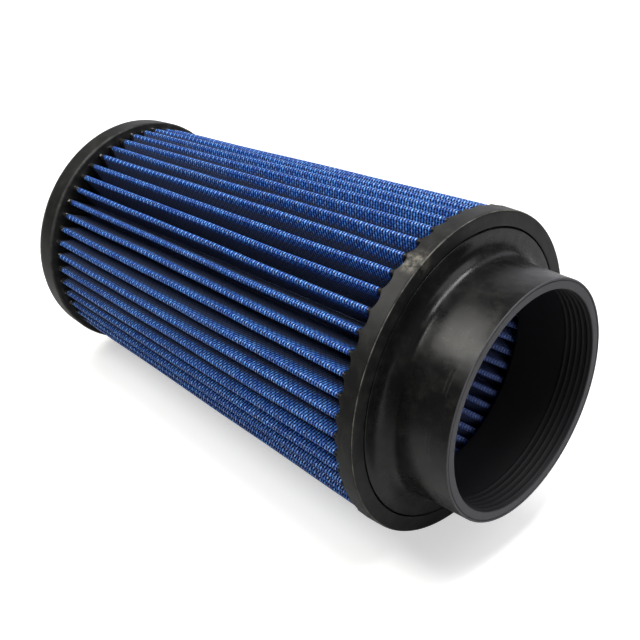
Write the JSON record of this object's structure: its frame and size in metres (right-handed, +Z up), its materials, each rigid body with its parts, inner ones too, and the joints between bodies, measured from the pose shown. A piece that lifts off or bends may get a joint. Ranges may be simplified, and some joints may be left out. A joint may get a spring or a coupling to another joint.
{
  "type": "conical clamp-on air filter",
  "caption": "Tapered pleated engine air filter with a round rubber neck flange at one end and a closed cap at the other.",
  "frame": {"origin": "centre of the neck's mouth, in the plane of its lip", "axes": "+X along the filter's axis, out of the neck; the closed end is at -X; +Z up with the axis level, as the filter sits on a side intake"},
  "size_m": [0.2725, 0.152, 0.152],
  "materials": {
    "flange_rubber": "satin moulded rubber",
    "cast_polyurethane": "satin cast polyurethane, black",
    "coated_wire": "woven aluminium wire with a blue epoxy coat",
    "cotton_gauze": "oiled cotton gauze, dyed blue",
    "clip_metal": "folded strip, mill finish"
  },
  "bodies": {
    "root": {"neck_flange": "flange_rubber", "base_ring": "cast_polyurethane", "outer_screen": "coated_wire", "gauze_ply_1": "cotton_gauze", "gauze_ply_2": "cotton_gauze", "gauze_ply_3": "cotton_gauze", "gauze_ply_4": "cotton_gauze", "inner_screen": "coated_wire", "seam_clip": "clip_metal", "end_cap": "cast_polyurethane"}
  },
  "joints": []
}
